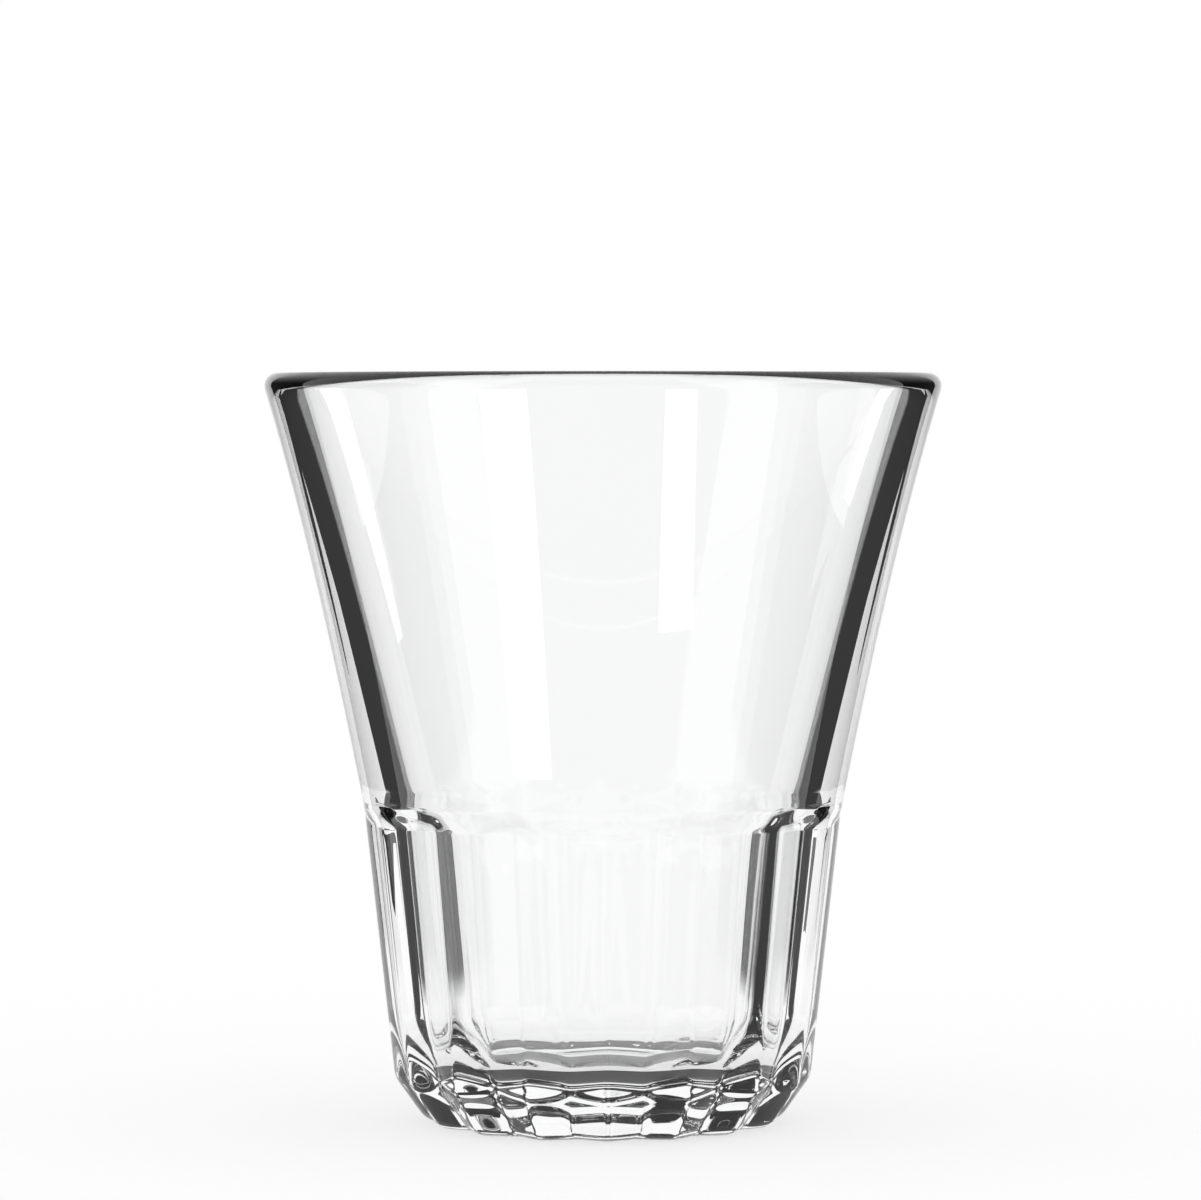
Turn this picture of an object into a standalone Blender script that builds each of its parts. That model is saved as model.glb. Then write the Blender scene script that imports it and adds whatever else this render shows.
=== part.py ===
"""A rocks glass: a flared clear tumbler with a fluted lower body, a thick base and a scalloped foot.

Metres, +Z up. The origin is on the ground, under the middle of the foot. A ridge faces -Y.
"""

import math

import bmesh
import bpy

MM = 0.001

# Overall size
HEIGHT = 100.0 * MM
RIM_RADIUS = 45.05 * MM
LIP_THICKNESS = 3.2 * MM
LIP_ROUND = 1.75 * MM

# Outside of the wall, along the ridges between the flutes
SHOULDER_HEIGHT = 42.4 * MM
SHOULDER_RADIUS = 31.9 * MM
SHOULDER_SLOPE = 0.20
RIM_SLOPE = 0.30
HEEL_HEIGHT = 6.0 * MM
HEEL_RADIUS = 27.8 * MM
HEEL_ROUND = 1.0 * MM
FOOT_RADIUS = 23.5 * MM
FOOT_ROUND = 1.8 * MM

# Flutes
FLUTES = 16
FLUTE_DEPTH = 0.65 * MM
FOOT_FLUTE_DEPTH = 2.2 * MM
FLUTE_RUN_OUT = 2.4 * MM
DEEPEN_HEIGHT = 15.0 * MM
RIB_CURVE = 1.15

# Inside of the wall
LEDGE_HEIGHT = 44.0 * MM
LEDGE_RADIUS = 26.35 * MM
LEDGE_DROP = 4.0 * MM
LEDGE_STEP = 1.3 * MM
LIP_WALL_SLOPE = 0.37
UPPER_WALL_SLOPE = 0.25
LOWER_WALL_SLOPE = 0.09
FLOOR_HEIGHT = 6.3 * MM
FLOOR_DISH = 0.9 * MM
FLOOR_EDGE = 14.5 * MM
FLOOR_ROUND = 7.5 * MM

# Underside
FOOT_RING_INNER = 17.0 * MM
PUNT_DEPTH = 1.2 * MM

# Facets: sides to a flute, and stations along the curved runs
SIDES_PER_FLUTE = 6
LIP_STEPS = 5
FLARE_STEPS = 9
ROUND_STEPS = 4
PUNT_STEPS = 4
FLUTE_STATIONS = (0.4, 0.76, 0.88)


def hermite(start, end, slope_start, slope_end, t):
    """A wall's radius and height at t, its slopes being radius over height."""
    (r0, z0), (r1, z1) = start, end
    rise = z1 - z0
    a = 2 * t**3 - 3 * t**2 + 1
    b = t**3 - 2 * t**2 + t
    c = 3 * t**2 - 2 * t**3
    d = t**3 - t**2
    return a * r0 + b * rise * slope_start + c * r1 + d * rise * slope_end, z0 + rise * t


def toward(start, end, reach):
    """The point a given reach from start, on the way to end."""
    length = math.hypot(end[0] - start[0], end[1] - start[1])
    share = min(reach / length, 0.5)
    return start[0] + (end[0] - start[0]) * share, start[1] + (end[1] - start[1]) * share


def rounded(before, corner, after, reach, steps):
    """A corner of the profile, rounded over the reach on either side."""
    return bend(toward(corner, before, reach), corner, toward(corner, after, reach), steps)


def bend(start, corner, end, steps):
    """Stations on a smooth bend from start to end, pulled towards the corner."""
    points = []
    for step in range(steps + 1):
        t = step / steps
        a, b, c = (1 - t) ** 2, 2 * t * (1 - t), t**2
        points.append(tuple(a * s + b * k + c * e for s, k, e in zip(start, corner, end)))
    return points


def lip(first_angle, last_angle, steps):
    """Stations on the oval round of the lip, from one angle to another."""
    half = LIP_THICKNESS / 2
    middle_r = RIM_RADIUS - half
    middle_z = HEIGHT - LIP_ROUND
    points = []
    for step in range(steps + 1):
        angle = first_angle + (last_angle - first_angle) * step / steps
        points.append((middle_r + half * math.cos(angle), middle_z + LIP_ROUND * math.sin(angle)))
    return points


def lip_lean(slope):
    """The angle at which a wall of the given slope runs into the lip's round without a kink."""
    return math.atan(slope * LIP_ROUND / (LIP_THICKNESS / 2))


def smooth_step(value):
    value = min(max(value, 0.0), 1.0)
    return value * value * (3 - 2 * value)


def flute_depth(height):
    """How far the flutes cut in at a height: none above the shoulder, most at the foot."""
    entry = smooth_step((SHOULDER_HEIGHT - height) / FLUTE_RUN_OUT)
    toward_foot = smooth_step((DEEPEN_HEIGHT - height) / DEEPEN_HEIGHT)
    return entry * (FLUTE_DEPTH + (FOOT_FLUTE_DEPTH - FLUTE_DEPTH) * toward_foot)


def outer_wall():
    """Stations (radius, height, flute depth) from the top of the lip down to the foot's edge."""
    points = lip(math.pi / 2, -lip_lean(RIM_SLOPE), LIP_STEPS)
    shoulder = (SHOULDER_RADIUS, SHOULDER_HEIGHT)
    top = points[-1]
    for step in range(1, FLARE_STEPS + 1):
        points.append(hermite(shoulder, top, SHOULDER_SLOPE, RIM_SLOPE, 1 - step / FLARE_STEPS))
    heel = (HEEL_RADIUS, HEEL_HEIGHT)
    foot = (FOOT_RADIUS, 0.0)
    ring = (FOOT_RING_INNER, 0.0)
    for share in (0.25, 0.5, 0.75, 1.0):
        points.append(toward(shoulder, heel, FLUTE_RUN_OUT * share))
    heel_round = rounded(shoulder, heel, foot, HEEL_ROUND, ROUND_STEPS)
    start, end = points[-1], heel_round[0]
    for share in FLUTE_STATIONS:
        points.append((start[0] + (end[0] - start[0]) * share, start[1] + (end[1] - start[1]) * share))
    points += heel_round
    points += rounded(heel, foot, ring, FOOT_ROUND, ROUND_STEPS)
    return [(r, z, flute_depth(z)) for r, z in points]


def underside(edge):
    """Stations from the foot's edge inward: the flat foot ring, then the shallow punt."""
    radius = edge[0]
    clear = radius - FOOT_FLUTE_DEPTH
    flat = FOOT_RING_INNER + (clear - FOOT_RING_INNER) / 2
    points = [(flat, 0.0, 0.0)]
    for step in range(PUNT_STEPS):
        r = FOOT_RING_INNER * (1 - step / PUNT_STEPS)
        points.append((r, PUNT_DEPTH * (1 - (r / FOOT_RING_INNER) ** 2), 0.0))
    return points


def inner_wall():
    """Stations from the dished inside floor up to the lip."""
    ledge_top = (LEDGE_RADIUS, LEDGE_HEIGHT)
    ledge_foot = (LEDGE_RADIUS - LEDGE_STEP, LEDGE_HEIGHT - LEDGE_DROP)
    dish_edge = (FLOOR_EDGE, FLOOR_HEIGHT + FLOOR_DISH)
    dish_slope = 2 * FLOOR_DISH / FLOOR_EDGE
    level_r = ledge_foot[0] - LOWER_WALL_SLOPE * (ledge_foot[1] - dish_edge[1] + dish_slope * FLOOR_EDGE)
    corner_r = level_r / (1 - LOWER_WALL_SLOPE * dish_slope)
    corner = (corner_r, dish_edge[1] + dish_slope * (corner_r - FLOOR_EDGE))
    points = [(FLOOR_EDGE * share, FLOOR_HEIGHT + FLOOR_DISH * share**2) for share in (0.35, 0.7)]
    points += bend(dish_edge, corner, toward(corner, ledge_foot, FLOOR_ROUND), ROUND_STEPS + 2)
    points.append(((points[-1][0] + ledge_foot[0]) / 2, (points[-1][1] + ledge_foot[1]) / 2))
    points.append(ledge_foot)
    for share in (0.25, 0.5, 0.75, 1.0):
        r = ledge_foot[0] + LEDGE_STEP * smooth_step(share)
        points.append((r, ledge_foot[1] + LEDGE_DROP * share))
    top = lip(math.pi - lip_lean(LIP_WALL_SLOPE), math.pi / 2, LIP_STEPS)
    for step in range(1, FLARE_STEPS):
        points.append(hermite(ledge_top, top[0], UPPER_WALL_SLOPE, LIP_WALL_SLOPE, step / FLARE_STEPS))
    points += top[:-1]
    return [(r, z, 0.0) for r, z in points]


def rib(place):
    """Share of the flute depth at a place across one flute: 0 on either ridge, 1 in the valley."""
    from_valley = abs(place * 2 - 1)
    return (1 - from_valley) ** RIB_CURVE


def ring_of_points(mesh, station):
    """One closed ring of vertices at a station of the profile."""
    radius, height, depth = station
    count = FLUTES * SIDES_PER_FLUTE
    ring = []
    for side in range(count):
        angle = 2 * math.pi * side / count - math.pi / 2
        r = radius - depth * rib((side % SIDES_PER_FLUTE) / SIDES_PER_FLUTE)
        ring.append(mesh.verts.new((r * math.cos(angle), r * math.sin(angle), height)))
    return ring


def join_rings(mesh, lower, upper):
    count = len(lower)
    for side in range(count):
        following = (side + 1) % count
        mesh.faces.new((lower[side], lower[following], upper[following], upper[side]))


def close_ring(mesh, ring, height, upward):
    """A fan from a ring to a point on the axis."""
    middle = mesh.verts.new((0.0, 0.0, height))
    count = len(ring)
    for side in range(count):
        following = (side + 1) % count
        face = (ring[side], ring[following], middle)
        mesh.faces.new(face if upward else face[::-1])


def clear_glass():
    material = bpy.data.materials.new("clear_glass")
    material.use_nodes = True
    shader = material.node_tree.nodes["Principled BSDF"]
    shader.inputs["Base Color"].default_value = (0.95, 0.97, 0.96, 1.0)
    shader.inputs["Roughness"].default_value = 0.02
    shader.inputs["Metallic"].default_value = 0.0
    shader.inputs["Transmission Weight"].default_value = 1.0
    shader.inputs["IOR"].default_value = 1.52
    return material


def tumbler():
    """The whole glass in one pressed piece: inside, lip, flared wall, flutes, heel, foot and punt."""
    outside = outer_wall()
    stations = inner_wall() + outside + underside(outside[-1])
    mesh = bmesh.new()
    rings = [ring_of_points(mesh, station) for station in stations]
    for upper, lower in zip(rings, rings[1:]):
        join_rings(mesh, lower, upper)
    close_ring(mesh, rings[0], FLOOR_HEIGHT, True)
    close_ring(mesh, rings[-1], PUNT_DEPTH, False)
    bmesh.ops.recalc_face_normals(mesh, faces=mesh.faces)
    data = bpy.data.meshes.new("tumbler")
    mesh.to_mesh(data)
    mesh.free()
    data.materials.append(clear_glass())
    glass = bpy.data.objects.new("tumbler", data)
    bpy.context.scene.collection.objects.link(glass)
    return glass


def main():
    for leftover in list(bpy.data.objects):
        bpy.data.objects.remove(leftover, do_unlink=True)
    tumbler()


main()
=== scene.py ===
"""A clear rocks glass on a white table: flared upper wall, fluted lower body, thick base, scalloped foot.

Metres, +Z up. A ridge between two flutes faces -Y.
"""

import math

import bmesh
import bpy
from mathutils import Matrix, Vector


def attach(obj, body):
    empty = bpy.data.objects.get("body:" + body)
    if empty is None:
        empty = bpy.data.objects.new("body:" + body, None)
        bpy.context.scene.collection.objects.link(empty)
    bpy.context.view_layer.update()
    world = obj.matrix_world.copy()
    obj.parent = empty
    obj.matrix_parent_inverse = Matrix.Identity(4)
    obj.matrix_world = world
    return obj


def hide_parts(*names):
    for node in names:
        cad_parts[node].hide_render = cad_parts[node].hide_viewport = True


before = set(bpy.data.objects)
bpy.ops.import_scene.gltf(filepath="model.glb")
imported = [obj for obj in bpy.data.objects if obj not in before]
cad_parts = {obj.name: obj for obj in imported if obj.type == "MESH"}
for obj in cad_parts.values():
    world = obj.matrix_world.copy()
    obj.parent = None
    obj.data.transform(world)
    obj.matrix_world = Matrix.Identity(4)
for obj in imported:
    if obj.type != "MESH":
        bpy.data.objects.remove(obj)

MM = 0.001
WHITE = (1.0, 1.0, 1.0, 1.0)

# Outside of the glass. The flare ends just above the shoulder, which leaves room for the shoulder's round
HEIGHT = 100.0 * MM
RIM_RADIUS = 45.05 * MM
LIP_THICKNESS = 3.2 * MM
LIP_ROUND = 1.75 * MM
FLARE_END = 1.5 * MM
SHOULDER_HEIGHT = 42.4 * MM
SHOULDER_RADIUS = 31.9 * MM
SHOULDER_ROUND = 1.49 * MM
SHOULDER_SLOPE = 0.20
RIM_SLOPE = 0.30
HEEL_HEIGHT = 6.0 * MM
HEEL_RADIUS = 27.8 * MM
HEEL_ROUND = 1.0 * MM
FOOT_RADIUS = 23.5 * MM
FOOT_ROUND = 1.8 * MM

# Flutes
FLUTES = 16
FLUTE_DEPTH = 0.85 * MM
FOOT_FLUTE_DEPTH = 2.0 * MM
FLUTE_RUN_OUT = 2.4 * MM
DEEPEN_HEIGHT = 15.0 * MM
RIB_CURVE = 1.25
VALLEY_ROUND = 0.15

# Inside of the glass
LEDGE_HEIGHT = 44.0 * MM
LEDGE_RADIUS = 26.35 * MM
LEDGE_DROP = 4.0 * MM
LEDGE_STEP = 1.3 * MM
LIP_WALL_SLOPE = 0.37
UPPER_WALL_SLOPE = 0.25
LOWER_WALL_SLOPE = 0.09
FLOOR_HEIGHT = 6.3 * MM
FLOOR_DISH = 0.9 * MM
FLOOR_EDGE = 14.5 * MM
FLOOR_ROUND = 7.5 * MM

# Underside
FOOT_RING_INNER = 17.0 * MM
PUNT_DEPTH = 1.2 * MM

# Stations along each run of the section, down the outside and then up the inside, and sides round the glass
OUTER_LIP_STEPS = 14
FLARE_STEPS = 34
SHOULDER_STEPS = 8
RUN_OUT_STEPS = 10
RUN_OUT_SPAN = 1.2 * FLUTE_RUN_OUT
BODY_STEPS = 18
HEEL_STEPS = 10
BEVEL_STEPS = 6
FOOT_STEPS = 9
RING_STEPS = 4
PUNT_STEPS = 11
FLOOR_STEPS = 12
CORNER_STEPS = 14
LOWER_WALL_STEPS = 14
LEDGE_STEPS = 14
UPPER_WALL_STEPS = 36
INNER_LIP_STEPS = 12
SIDES_PER_FLUTE = 24
MERGE_DISTANCE = 0.001 * MM

# Glass: ripples from the mould, fainter above the shoulder, scuffs on the foot, haze and two near tints
GLASS_IOR = 1.52
RIPPLE = {"Scale": 70.0, "Detail": 1.0, "Roughness": 0.4}
RIPPLE_HEIGHT = 0.03 * MM
RIPPLE_TOP = SHOULDER_HEIGHT + 4.0 * MM
RIPPLE_FULL = SHOULDER_HEIGHT - 6.0 * MM
UPPER_RIPPLE = 0.15
SCUFFS = {"Scale": 900.0, "Detail": 4.0}
WEAR_HEIGHT = 0.5 * MM
WEAR_ROUGHNESS = 0.3
HAZE = {"Scale": 25.0, "Detail": 3.0}
HAZE_ROUGHNESS = 0.004
TINT_DEEP = (0.985, 0.992, 0.988, 1.0)
TINT_FAINT = (0.995, 0.997, 0.996, 1.0)

# Camera: the photograph is 1201 wide and 7.5 of its pixels are one millimetre at the glass
PHOTO_WIDTH = 1201
PIXELS_PER_MM = 7.5
SENSOR_WIDTH = 36.0
CLIP_START = 10.0 * MM
CAMERA_DISTANCE = 770.0 * MM
CAMERA_HEIGHT = 95.4 * MM
CAMERA_TURN = math.radians(-1.3)
AIM = Vector((-0.333, 0.0, 69.73)) * MM

# Table
TABLE_HALF = 2000.0 * MM
TABLE_LEVEL = -0.1 * MM
TABLE_GLOW = 0.65

# Dark flags stand upright beside the glass, just out of the picture, tall towards the back and low in front
# The same grey also colours the painted shadow under the front of the glass
FLAG_AND_SHADOW_GREY = 0.041
FLAG_ASIDE = 107.0 * MM
FLAG_FRONT = 20.0 * MM
FLAG_BACK = 120.0 * MM
FLAG_HEIGHT = 260.0 * MM
FLAG_FOOT_FADE = 6.0 * MM
FLAG_TOP_FADE = 100.0 * MM
FLAG_TOP_CLEAR = 180.0 * MM
LOW_FLAG_FRONT = -60.0 * MM
LOW_FLAG_HEIGHT = 46.0 * MM

# A wing leans in from the back of each tall flag, and a small flag stands far behind, both in millimetres
# aside and up
WING_EDGE = ((106.0, 14.0), (103.0, 38.0), (88.5, 62.0), (76.0, 80.0), (66.0, 95.0))
FAR_FLAG_BACK = 300.0 * MM
FAR_FLAG_EDGE = (
    (131.0, 24.0), (240.0, 24.0), (240.0, 18.0), (160.0, 16.5),
    (152.0, 11.0), (146.0, 6.8), (140.0, 2.0), (131.0, 1.0),
)

# Painted shadow and a flag that lie on the table: dark quarter discs under the front of the glass are painted
# shadow of the glass on the table, and a wide flag lies behind it
PAINTED_SHADOW_REACH = 20.0 * MM
PAINTED_SHADOW_LEVEL = -0.04 * MM
PAINTED_SHADOW_STEPS = 40
TABLE_FLAG_HALF = 260.0 * MM
TABLE_FLAG_FRONT = 10.0 * MM
TABLE_FLAG_BACK = 480.0 * MM
TABLE_FLAG_LEVEL = -0.06 * MM

# A grey card over the front of the glass leans back to face it
FRONT_GREY = 0.28
FRONT_RISE = math.radians(40.0)
FRONT_REACH = 1200.0 * MM
FRONT_LIFT = 80.0 * MM
FRONT_WIDTH = 2400.0 * MM
FRONT_HEIGHT = 2000.0 * MM

# Corners in millimetres of the softboxes in front of the glass, and of the bright strips just inside the
# flags, as places along them and heights
SOFTBOX_STRENGTH = 4.0
SOFTBOX_LEFT = ((-32.3, -52.7, 34.1), (-18.9, -59.4, 33.3), (-23.8, -70.9, 81.4), (-37.4, -63.5, 82.4))
SOFTBOX_RIGHT = ((18.9, -63.3, 51.8), (30.7, -59.1, 52.4), (28.8, -68.7, 81.7), (19.2, -71.7, 81.2))
STRIP_ASIDE = FLAG_ASIDE - 1.0 * MM
STRIP_LEFT = ((-20.0, 38.0), (-14.0, 38.0), (9.0, 82.0), (-11.0, 82.0))
STRIP_RIGHT = ((-7.0, 58.0), (0.0, 58.0), (15.0, 82.0), (2.0, 82.0))

# Counts along a path of light: not yet in the glass, through one wall, and turned several times in a wall
OUTSIDE_COUNT = 0.5
ONE_WALL_COUNT = 2.5
TURNED_COUNT = 4.5


class Value:
    """An output socket that sums can be written with."""

    def __init__(self, tree, socket):
        self.tree = tree
        self.socket = socket

    def __add__(self, other):
        return self.tree.math("ADD", self, other)

    def __radd__(self, other):
        return self.tree.math("ADD", other, self)

    def __sub__(self, other):
        return self.tree.math("SUBTRACT", self, other)

    def __rsub__(self, other):
        return self.tree.math("SUBTRACT", other, self)

    def __mul__(self, other):
        return self.tree.math("MULTIPLY", self, other)

    def __rmul__(self, other):
        return self.tree.math("MULTIPLY", other, self)

    def __truediv__(self, other):
        return self.tree.math("DIVIDE", self, other)

    def __rtruediv__(self, other):
        return self.tree.math("DIVIDE", other, self)

    def __pow__(self, other):
        return self.tree.math("POWER", self, other)

    def __rpow__(self, other):
        return self.tree.math("POWER", other, self)


class Tree:
    """A node tree, with one way to add a node and one to write maths."""

    def __init__(self, node_tree):
        self.nodes = node_tree.nodes
        self.links = node_tree.links

    def feed(self, socket, value):
        if isinstance(value, Value):
            self.links.new(value.socket, socket)
        else:
            socket.default_value = value

    def node(self, kind, settings=None, sockets=None):
        node = self.nodes.new(kind)
        for name, setting in (settings or {}).items():
            setattr(node, name, setting)
        for name, value in (sockets or {}).items():
            self.feed(node.inputs[name], value)
        return node

    def out(self, node, name=0):
        return Value(self, node.outputs[name])

    def get(self, kind, name=0, settings=None, sockets=None):
        return self.out(self.node(kind, settings, sockets), name)

    def math(self, operation, *values):
        return self.get("ShaderNodeMath", 0, {"operation": operation}, dict(enumerate(values)))


def smooth_step(value):
    value = min(max(value, 0.0), 1.0)
    return value * value * (3 - 2 * value)


def shares(count):
    """Even steps from 0 to 1, without the 0."""
    return [(step + 1) / count for step in range(count)]


def between(start, end, t):
    return start[0] + (end[0] - start[0]) * t, start[1] + (end[1] - start[1]) * t


def toward(start, end, reach):
    """The point a given reach from start, on the way to end."""
    return between(start, end, reach / math.dist(start, end))


def hermite(start, end, slope_start, slope_end, t):
    """A wall's radius and height at t, its slopes being radius over height."""
    rise = end[1] - start[1]
    a = 2 * t**3 - 3 * t**2 + 1
    b = t**3 - 2 * t**2 + t
    c = 3 * t**2 - 2 * t**3
    d = t**3 - t**2
    radius = a * start[0] + b * rise * slope_start + c * end[0] + d * rise * slope_end
    return radius, start[1] + rise * t


def bend(start, corner, end, steps):
    """Stations on a smooth bend from start to end, pulled towards the corner."""
    points = [start]
    for t in shares(steps):
        points.append(between(between(start, corner, t), between(corner, end, t), t))
    return points


def rounded(before, corner, after, reach, steps):
    """A corner of the section, rounded over the reach on either side."""
    return bend(toward(corner, before, reach), corner, toward(corner, after, reach), steps)


def lip(first_angle, last_angle, steps):
    """Stations on the oval round of the lip, from one angle to another."""
    half = LIP_THICKNESS / 2
    points = []
    for t in [0.0] + shares(steps):
        angle = first_angle + (last_angle - first_angle) * t
        radius = RIM_RADIUS - half + half * math.cos(angle)
        points.append((radius, HEIGHT - LIP_ROUND + LIP_ROUND * math.sin(angle)))
    return points


def lip_lean(slope):
    """The angle at which a wall of the given slope runs into the lip's round without a kink."""
    return math.atan(slope * LIP_ROUND / (LIP_THICKNESS / 2))


def run_to(points, end, steps):
    """Straight stations from the last point to the end."""
    start = points[-1]
    points += [between(start, end, t) for t in shares(steps)]


def outside():
    """The outside of the section, from the top of the lip down to the middle of the underside."""
    points = lip(math.pi / 2, -lip_lean(RIM_SLOPE), OUTER_LIP_STEPS)
    top = points[-1]
    shoulder = (SHOULDER_RADIUS, SHOULDER_HEIGHT)
    heel = (HEEL_RADIUS, HEEL_HEIGHT)
    foot = (FOOT_RADIUS, 0.0)
    ring = (FOOT_RING_INNER, 0.0)
    flare_end = FLARE_END / (top[1] - SHOULDER_HEIGHT)
    for t in shares(FLARE_STEPS):
        points.append(hermite(shoulder, top, SHOULDER_SLOPE, RIM_SLOPE, 1 + (flare_end - 1) * t))
    points += rounded(points[-1], shoulder, heel, SHOULDER_ROUND, SHOULDER_STEPS)
    run_to(points, toward(shoulder, heel, RUN_OUT_SPAN), RUN_OUT_STEPS)
    heel_round = rounded(shoulder, heel, foot, HEEL_ROUND, HEEL_STEPS)
    foot_round = rounded(heel, foot, ring, FOOT_ROUND, FOOT_STEPS)
    run_to(points, heel_round[0], BODY_STEPS)
    points += heel_round[1:]
    run_to(points, foot_round[0], BEVEL_STEPS)
    points += foot_round[1:]
    run_to(points, ring, RING_STEPS)
    for t in shares(PUNT_STEPS):
        radius = FOOT_RING_INNER * (1 - t)
        points.append((radius, PUNT_DEPTH * (1 - (radius / FOOT_RING_INNER) ** 2)))
    return points


def inside():
    """The inside of the section, from the middle of the inside floor up to the lip."""
    ledge_top = (LEDGE_RADIUS, LEDGE_HEIGHT)
    ledge_foot = (LEDGE_RADIUS - LEDGE_STEP, LEDGE_HEIGHT - LEDGE_DROP)
    points = []
    for t in [0.0] + shares(FLOOR_STEPS):
        points.append((FLOOR_EDGE * t, FLOOR_HEIGHT + FLOOR_DISH * t**2))
    edge = points[-1]
    rise = 2 * FLOOR_DISH / FLOOR_EDGE
    wall_r = ledge_foot[0] - LOWER_WALL_SLOPE * (ledge_foot[1] - edge[1] + rise * FLOOR_EDGE)
    corner_r = wall_r / (1 - LOWER_WALL_SLOPE * rise)
    corner = (corner_r, edge[1] + rise * (corner_r - FLOOR_EDGE))
    points += bend(edge, corner, toward(corner, ledge_foot, FLOOR_ROUND), CORNER_STEPS)[1:]
    run_to(points, ledge_foot, LOWER_WALL_STEPS)
    for t in shares(LEDGE_STEPS):
        points.append((ledge_foot[0] + LEDGE_STEP * smooth_step(t), ledge_foot[1] + LEDGE_DROP * t))
    top = lip(math.pi - lip_lean(LIP_WALL_SLOPE), math.pi / 2, INNER_LIP_STEPS)
    for t in shares(UPPER_WALL_STEPS):
        points.append(hermite(ledge_top, top[0], UPPER_WALL_SLOPE, LIP_WALL_SLOPE, t))
    return points + top[1:-1]


def flute_depth(radius, height):
    """How far the flutes cut in: none above the shoulder, most at the foot, fading on the underside."""
    entry = smooth_step((SHOULDER_HEIGHT - height) / FLUTE_RUN_OUT)
    near_foot = smooth_step((DEEPEN_HEIGHT - height) / DEEPEN_HEIGHT)
    edge = FOOT_RADIUS - FOOT_ROUND
    on_ring = smooth_step((radius - FOOT_RING_INNER) / (edge - FOOT_RING_INNER))
    return entry * on_ring * (FLUTE_DEPTH + (FOOT_FLUTE_DEPTH - FLUTE_DEPTH) * near_foot)


def section_object():
    """The section as a line of points, each of which knows its flute depth."""
    inner = inside()
    outer = outside()
    depths = [0.0] * len(inner) + [flute_depth(r, z) for r, z in outer]
    mesh = bpy.data.meshes.new("tumbler_section")
    mesh.from_pydata([(r, 0.0, z) for r, z in inner + outer], [], [])
    mesh.attributes.new("flute_depth", "FLOAT", "POINT").data.foreach_set("value", depths)
    section = bpy.data.objects.new("tumbler_section", mesh)
    bpy.context.scene.collection.objects.link(section)
    return section


def fluted_turning():
    """A node tree that turns a section round the axis and presses flutes into it."""
    group = bpy.data.node_groups.new("fluted_turning", "GeometryNodeTree")
    inputs = (
        ("Section", "Geometry"),
        ("Flutes", "Int"),
        ("Sides", "Int"),
        ("Rib Curve", "Float"),
        ("Valley Round", "Float"),
        ("Glass", "Material"),
    )
    for name, kind in inputs:
        group.interface.new_socket(name, in_out="INPUT", socket_type="NodeSocket" + kind)
    group.interface.new_socket("Geometry", in_out="OUTPUT", socket_type="NodeSocketGeometry")
    tree = Tree(group)
    given = tree.node("NodeGroupInput")
    section, flutes, sides, curve, valley, glass = [tree.out(given, name) for name, kind in inputs]

    count = tree.get("GeometryNodeAttributeDomainSize", "Point Count", None, {"Geometry": section})
    grid = tree.get("GeometryNodeMeshGrid", "Mesh", None, {"Vertices X": sides + 1, "Vertices Y": count})
    index = tree.get("GeometryNodeInputIndex")
    side = tree.math("FLOOR", (index + 0.5) / count)
    station = index - side * count

    def at_station(kind, value):
        settings = {"data_type": kind, "domain": "POINT"}
        sockets = {"Geometry": section, "Value": value, "Index": station}
        return tree.get("GeometryNodeSampleIndex", 0, settings, sockets)

    point = at_station("FLOAT_VECTOR", tree.get("GeometryNodeInputPosition"))
    split = tree.node("ShaderNodeSeparateXYZ", None, {0: point})
    number = {"data_type": "FLOAT"}
    stored = tree.get("GeometryNodeInputNamedAttribute", "Attribute", number, {"Name": "flute_depth"})
    depth = at_station("FLOAT", stored)

    turn = side / sides
    across = tree.math("ABSOLUTE", tree.math("FRACT", turn * flutes) * 2.0 - 1.0)
    soft = tree.math("SQRT", across * across + valley * valley) - valley
    soft = soft / (tree.math("SQRT", valley * valley + 1.0) - valley)
    rib = tree.math("MAXIMUM", 1.0 - soft, 0.0) ** curve
    radius = tree.out(split, "X") - depth * rib
    angle = turn * (2 * math.pi) - math.pi / 2
    spot = tree.get("ShaderNodeCombineXYZ", 0, None, {
        "X": radius * tree.math("COSINE", angle),
        "Y": radius * tree.math("SINE", angle),
        "Z": tree.out(split, "Z"),
    })

    turned = tree.get("GeometryNodeSetPosition", 0, None, {"Geometry": grid, "Position": spot})
    merging = {"Geometry": turned, "Distance": MERGE_DISTANCE}
    closed = tree.get("GeometryNodeMergeByDistance", 0, None, merging)
    plain = tree.get("GeometryNodeRealizeInstances", 0, None, {"Geometry": closed})
    done = tree.get("GeometryNodeSetMaterial", 0, None, {"Geometry": plain, "Material": glass})
    tree.node("NodeGroupOutput", None, {"Geometry": done})
    return group


def tumbler_glass(glass):
    """The whole glass as one closed mesh."""
    section = section_object()
    group = fluted_turning()
    modifier = section.modifiers.new("turning", "NODES")
    modifier.node_group = group
    sizes = {
        "Flutes": FLUTES,
        "Sides": FLUTES * SIDES_PER_FLUTE,
        "Rib Curve": RIB_CURVE,
        "Valley Round": VALLEY_ROUND,
        "Glass": glass,
    }
    for item in group.interface.items_tree:
        if item.in_out == "INPUT" and item.name in sizes:
            modifier[item.identifier] = sizes[item.name]
    bpy.context.view_layer.update()
    turned = section.evaluated_get(bpy.context.evaluated_depsgraph_get())
    mesh = bpy.data.meshes.new_from_object(turned)
    bpy.data.objects.remove(section, do_unlink=True)
    mesh.name = "tumbler_glass"
    work = bmesh.new()
    work.from_mesh(mesh)
    bmesh.ops.recalc_face_normals(work, faces=work.faces)
    for polygon in work.faces:
        polygon.smooth = True
    work.to_mesh(mesh)
    work.free()
    piece = bpy.data.objects.new("tumbler_glass", mesh)
    bpy.context.scene.collection.objects.link(piece)
    return piece


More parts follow.
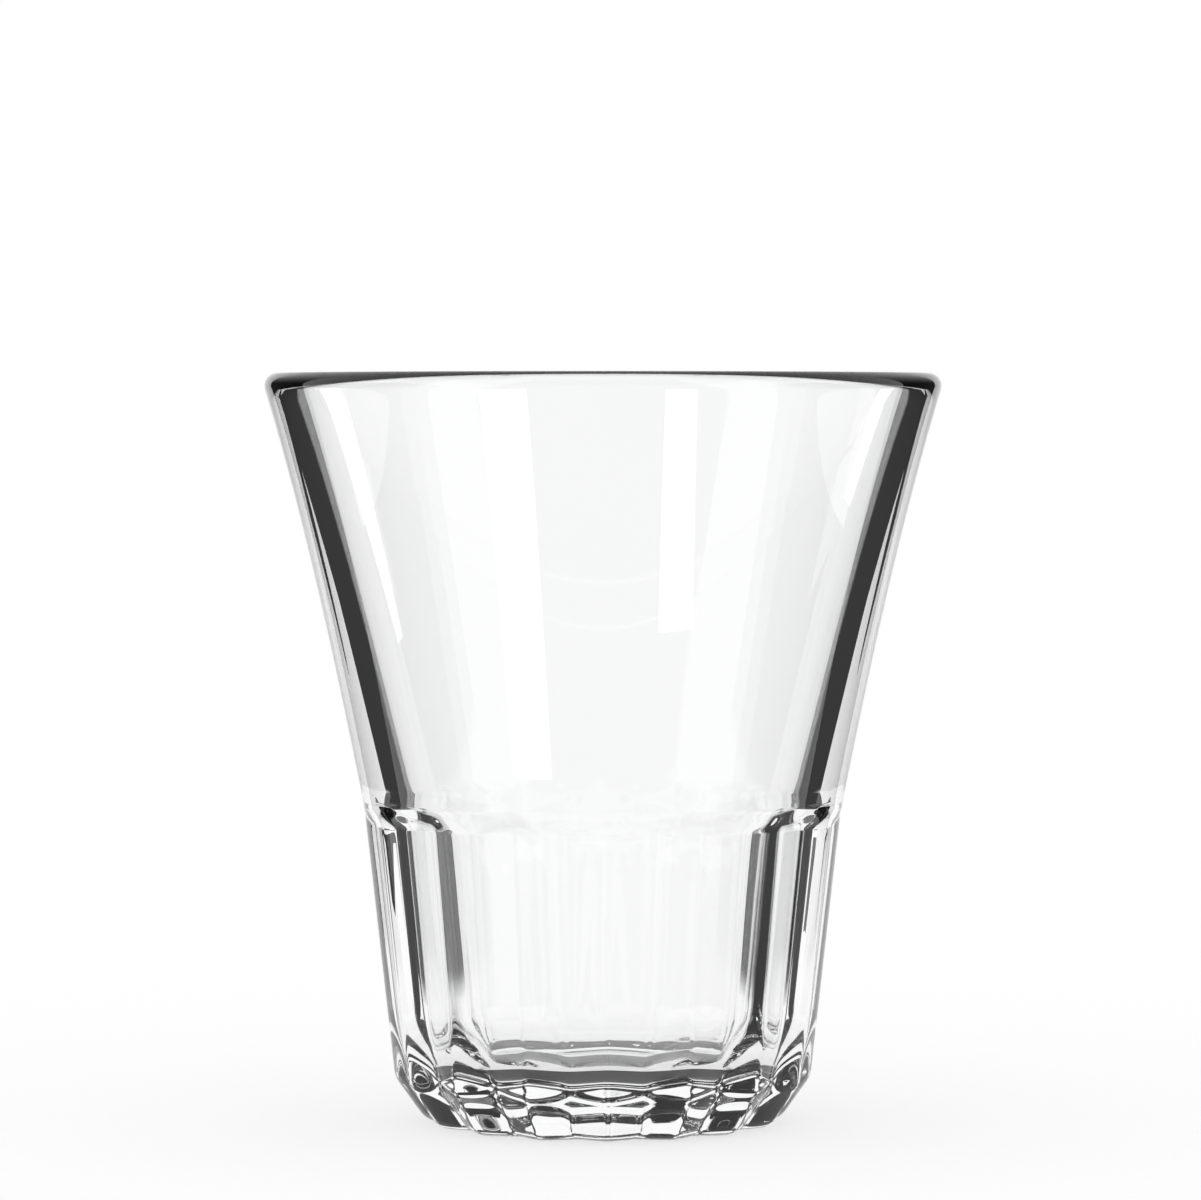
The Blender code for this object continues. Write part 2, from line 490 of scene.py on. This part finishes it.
def ramp(value, start, end, low, high):
    """A smooth change from low at the start to high at the end."""
    limits = {"Value": value, "From Min": start, "From Max": end, "To Min": low, "To Max": high}
    return value.tree.get("ShaderNodeMapRange", 0, {"interpolation_type": "SMOOTHSTEP"}, limits)


def noise(here, grain):
    return here.tree.get("ShaderNodeTexNoise", 0, None, {"Vector": here, **grain})


def clear_glass():
    """Pressed clear glass: slow ripples from the mould, a worn foot and hardly any tint."""
    material = bpy.data.materials.new("clear_glass_pressed")
    material.use_nodes = True
    tree = Tree(material.node_tree)
    shader = material.node_tree.nodes["Principled BSDF"]
    here = tree.get("ShaderNodeTexCoord", "Object")
    height = tree.get("ShaderNodeSeparateXYZ", "Z", None, {0: here})
    ripple = noise(here, RIPPLE) * ramp(height, RIPPLE_TOP, RIPPLE_FULL, UPPER_RIPPLE, 1.0)
    relief = {"Strength": 1.0, "Distance": RIPPLE_HEIGHT, "Height": ripple}
    bump = tree.get("ShaderNodeBump", 0, None, relief)
    worn = ramp(height, WEAR_HEIGHT, 0.0, 0.0, 1.0)
    haze = noise(here, HAZE)
    roughness = worn * noise(here, SCUFFS) * WEAR_ROUGHNESS + haze * HAZE_ROUGHNESS
    tints = {"Factor": haze, "A": TINT_DEEP, "B": TINT_FAINT}
    tint = tree.get("ShaderNodeMix", "Result", {"data_type": "RGBA"}, tints)
    tree.feed(shader.inputs["Base Color"], tint)
    tree.feed(shader.inputs["Roughness"], roughness)
    tree.feed(shader.inputs["Normal"], bump)
    tree.feed(shader.inputs["Transmission Weight"], 1.0)
    tree.feed(shader.inputs["IOR"], GLASS_IOR)
    return material


def bare_material(name):
    """A new material with an empty node tree."""
    material = bpy.data.materials.new(name)
    material.use_nodes = True
    material.node_tree.nodes.clear()
    return material, Tree(material.node_tree)


def white_light(tree, strength):
    return tree.get("ShaderNodeEmission", 0, None, {"Color": WHITE, "Strength": strength})


def mixed(tree, share, first, second):
    return tree.get("ShaderNodeMixShader", 0, None, {"Fac": share, 1: first, 2: second})


def show(tree, shader):
    tree.node("ShaderNodeOutputMaterial", None, {"Surface": shader})


def even_card(name, grey):
    """A card of one even grey."""
    material, tree = bare_material(name)
    show(tree, white_light(tree, grey))
    return material


def outer_glow(name, strength):
    """A bright card that only the outer face of the glass mirrors, not the faces seen through it."""
    material, tree = bare_material(name)
    through = tree.get("ShaderNodeLightPath", "Transmission Depth")
    inside_glass = tree.math("GREATER_THAN", through, OUTSIDE_COUNT)
    clear = tree.get("ShaderNodeBsdfTransparent")
    show(tree, mixed(tree, inside_glass, white_light(tree, strength), clear))
    return material


def faded_flag(name, white_outside):
    """A dark flag that fades to white at its foot and towards its top. The outer face can mirror it white."""
    material, tree = bare_material(name)
    here = tree.get("ShaderNodeTexCoord", "Object")
    height = tree.get("ShaderNodeSeparateXYZ", "Z", None, {0: here})
    foot = ramp(height, 0.0, FLAG_FOOT_FADE, 1.0, FLAG_AND_SHADOW_GREY)
    top = ramp(height, FLAG_TOP_FADE, FLAG_TOP_CLEAR, 0.0, 1.0)
    grey = tree.math("MAXIMUM", foot, top)
    if white_outside:
        through = tree.get("ShaderNodeLightPath", "Transmission Depth")
        grey = tree.math("MAXIMUM", grey, tree.math("LESS_THAN", through, OUTSIDE_COUNT))
    show(tree, white_light(tree, grey))
    return material


def wall_flag(name, count, least):
    """A dark card that shows only in light of one wall, where a count along its path is over the least."""
    material, tree = bare_material(name)
    path = tree.node("ShaderNodeLightPath")
    one_wall = tree.math("LESS_THAN", tree.out(path, "Transmission Depth"), ONE_WALL_COUNT)
    enough = tree.math("GREATER_THAN", tree.out(path, count), least)
    clear = tree.get("ShaderNodeBsdfTransparent")
    show(tree, mixed(tree, one_wall * enough, clear, white_light(tree, FLAG_AND_SHADOW_GREY)))
    return material


def table_white():
    """A white table top, part lit by itself, that still takes the glass's shadow."""
    material, tree = bare_material("table_white")
    paper = tree.get("ShaderNodeBsdfDiffuse", 0, None, {"Color": WHITE})
    show(tree, mixed(tree, TABLE_GLOW, paper, white_light(tree, 1.0)))
    return material


def flat_card(name, material, corners):
    """A flat card of the stage, with the given corners."""
    mesh = bpy.data.meshes.new(name)
    mesh.from_pydata(corners, [], [tuple(range(len(corners)))])
    mesh.materials.append(material)
    card = bpy.data.objects.new(name, mesh)
    bpy.context.scene.collection.objects.link(card)
    return card


def rectangle(left, right, low, high):
    return [(left, low), (right, low), (right, high), (left, high)]


def painted_shadow_corners(sign):
    """Corners of a dark quarter disc of painted shadow under the front of the glass, on one side."""
    corners = [(0.0, 0.0, PAINTED_SHADOW_LEVEL)]
    for t in [0.0] + shares(PAINTED_SHADOW_STEPS):
        turn = math.pi / 2 * (1 + t)
        aside = sign * PAINTED_SHADOW_REACH * math.sin(turn)
        corners.append((aside, PAINTED_SHADOW_REACH * math.cos(turn), PAINTED_SHADOW_LEVEL))
    return corners


def front_corners():
    """Corners of the grey card over the front of the glass."""
    middle = Vector((0.0, -math.cos(FRONT_RISE), math.sin(FRONT_RISE))) * FRONT_REACH
    middle.z += FRONT_LIFT
    side = Vector((FRONT_WIDTH / 2, 0.0, 0.0))
    up = side.cross(middle).normalized() * FRONT_HEIGHT / 2
    return [middle - side - up, middle + side - up, middle + side + up, middle - side + up]


def dark_flags_and_painted_shadow():
    """The dark cards beside the glass, behind it and on the table, and the painted shadow under the front of
    the glass.
    """
    faded = faded_flag("flag_faded", False)
    faded_inside = faded_flag("wing_faded", True)
    one_wall = wall_flag("flag_one_wall", "Transmission Depth", OUTSIDE_COUNT)
    in_wall = wall_flag("flag_in_wall", "Ray Depth", TURNED_COUNT)
    # The even dark of the painted shadow under the front of the glass
    dark = even_card("painted_shadow_black", FLAG_AND_SHADOW_GREY)
    tall = rectangle(FLAG_FRONT, FLAG_BACK, 0.0, FLAG_HEIGHT)
    low = rectangle(LOW_FLAG_FRONT, FLAG_FRONT, 0.0, LOW_FLAG_HEIGHT)
    cards = []
    for side, sign in (("right", 1), ("left", -1)):
        aside = sign * FLAG_ASIDE
        wing = [(sign * x * MM, FLAG_BACK, z * MM) for x, z in WING_EDGE]
        wing += [(aside, FLAG_BACK, wing[-1][2]), (aside, FLAG_BACK, 0.0)]
        far = [(sign * x * MM, FAR_FLAG_BACK, z * MM) for x, z in FAR_FLAG_EDGE]
        cards.append(flat_card("side_flag_" + side, faded, [(aside, y, z) for y, z in tall]))
        cards.append(flat_card("low_flag_" + side, faded_inside, [(aside, y, z) for y, z in low]))
        cards.append(flat_card("wing_flag_" + side, faded_inside, wing))
        cards.append(flat_card("far_flag_" + side, one_wall, far))
        # Dark quarter discs under the front of the glass: painted shadow of the glass on the table
        cards.append(flat_card("painted_shadow_disc_" + side, dark, painted_shadow_corners(sign)))
    lying = rectangle(-TABLE_FLAG_HALF, TABLE_FLAG_HALF, TABLE_FLAG_FRONT, TABLE_FLAG_BACK)
    cards.append(flat_card("table_flag", in_wall, [(x, y, TABLE_FLAG_LEVEL) for x, y in lying]))
    return cards


def front_cards():
    """The grey card over the front, the softboxes and the bright strips."""
    cards = [flat_card("front_card", even_card("front_grey", FRONT_GREY), front_corners())]
    bright = outer_glow("softbox_white", SOFTBOX_STRENGTH)
    lights = (("left", -1, SOFTBOX_LEFT, STRIP_LEFT), ("right", 1, SOFTBOX_RIGHT, STRIP_RIGHT))
    for side, sign, box, strip in lights:
        corners = [(sign * STRIP_ASIDE, y * MM, z * MM) for y, z in strip]
        cards.append(flat_card("softbox_" + side, bright, [Vector(corner) * MM for corner in box]))
        cards.append(flat_card("strip_" + side, bright, corners))
    return cards


def hang(cards, camera):
    """Hangs the cards on a stand that turns about the upright axis to face the camera."""
    stand = bpy.data.objects.new("flag_stand", None)
    bpy.context.scene.collection.objects.link(stand)
    follow = stand.constraints.new("LOCKED_TRACK")
    follow.target = camera
    follow.track_axis = "TRACK_NEGATIVE_Y"
    follow.lock_axis = "LOCK_Z"
    for card in cards:
        card.parent = stand
        card.visible_camera = False
        card.visible_diffuse = False
        card.visible_shadow = False


def studio(camera):
    """White surroundings, a white table and the cards."""
    world = bpy.data.worlds.new("white_studio")
    world.use_nodes = True
    background = world.node_tree.nodes["Background"]
    background.inputs["Color"].default_value = WHITE
    background.inputs["Strength"].default_value = 1.0
    bpy.context.scene.world = world
    top = rectangle(-TABLE_HALF, TABLE_HALF, -TABLE_HALF, TABLE_HALF)
    flat_card("table", table_white(), [(x, y, TABLE_LEVEL) for x, y in top])
    hang(dark_flags_and_painted_shadow() + front_cards(), camera)


def photo_camera():
    """The camera of the photograph."""
    data = bpy.data.cameras.new("photo_camera")
    data.sensor_width = SENSOR_WIDTH
    data.lens = SENSOR_WIDTH * CAMERA_DISTANCE / (PHOTO_WIDTH / PIXELS_PER_MM * MM)
    data.clip_start = CLIP_START
    camera = bpy.data.objects.new("photo_camera", data)
    aside = CAMERA_DISTANCE * math.sin(CAMERA_TURN)
    camera.location = (aside, -CAMERA_DISTANCE * math.cos(CAMERA_TURN), CAMERA_HEIGHT)
    camera.rotation_euler = (AIM - camera.location).to_track_quat("-Z", "Y").to_euler()
    bpy.context.scene.collection.objects.link(camera)
    bpy.context.scene.camera = camera
    return camera


def main():
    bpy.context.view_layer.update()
    bpy.context.scene.view_settings.view_transform = "Standard"
    camera = photo_camera()
    piece = tumbler_glass(clear_glass())
    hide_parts("tumbler")
    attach(piece, "root")
    studio(camera)
    bpy.context.view_layer.update()


main()
